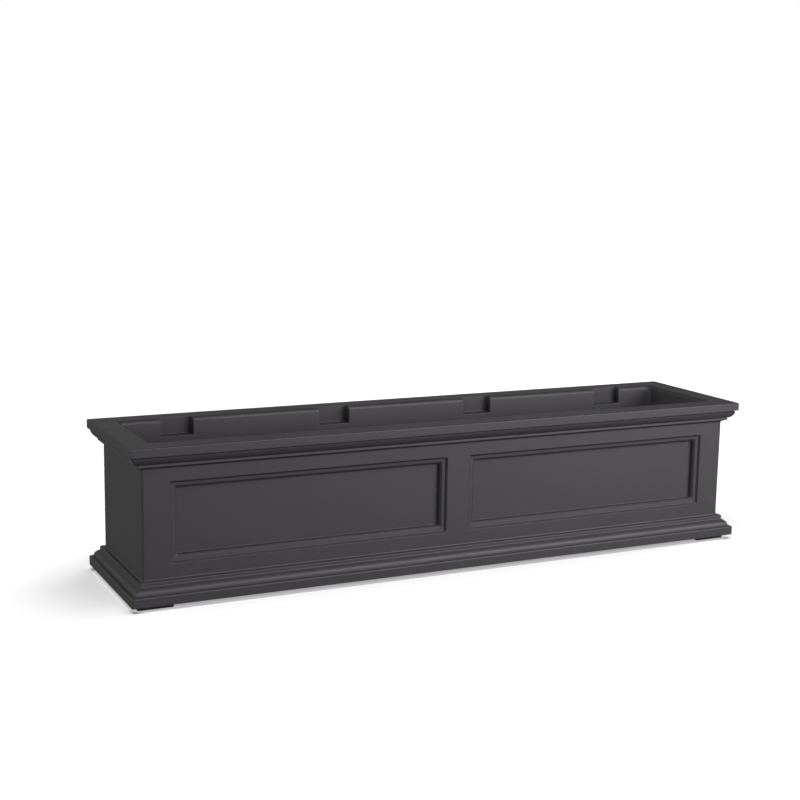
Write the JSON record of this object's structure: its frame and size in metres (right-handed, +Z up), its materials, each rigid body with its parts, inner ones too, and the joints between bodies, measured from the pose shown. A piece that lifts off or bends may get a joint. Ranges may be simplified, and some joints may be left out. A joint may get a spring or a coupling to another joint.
{
  "type": "window box planter",
  "caption": "Long rectangular window box planter with a rimmed inner trough, stepped crown and base mouldings, recessed front panels, foot pads and drain plugs.",
  "frame": {"origin": "centre of the footprint, on the surface that the feet stand on", "axes": "+X along the length, to the right as seen from the front; +Y towards the back, the wall side; +Z up"},
  "size_m": [1.2192, 0.2826, 0.2745],
  "materials": {
    "case_plastic": "moulded graphite grey, fine grain",
    "trough_plastic": "moulded graphite grey, fine grain",
    "foot_rubber": "matt black",
    "plug_plastic": "matt dark grey"
  },
  "bodies": {
    "planter": {"outer_case": "case_plastic", "inner_trough": "trough_plastic", "foot_front_left": "foot_rubber", "foot_front_right": "foot_rubber", "foot_back_left": "foot_rubber", "foot_back_right": "foot_rubber"},
    "plug_left": {"drain_plug_left": "plug_plastic"},
    "plug_right": {"drain_plug_right": "plug_plastic"}
  },
  "joints": [
    {"name": "plug_left_lift", "type": "slide", "parent": "planter", "child": "plug_left", "axis": [0, 0, 1], "range_m": [0, 0.25]},
    {"name": "plug_right_lift", "type": "slide", "parent": "planter", "child": "plug_right", "axis": [0, 0, 1], "range_m": [0, 0.25]}
  ]
}
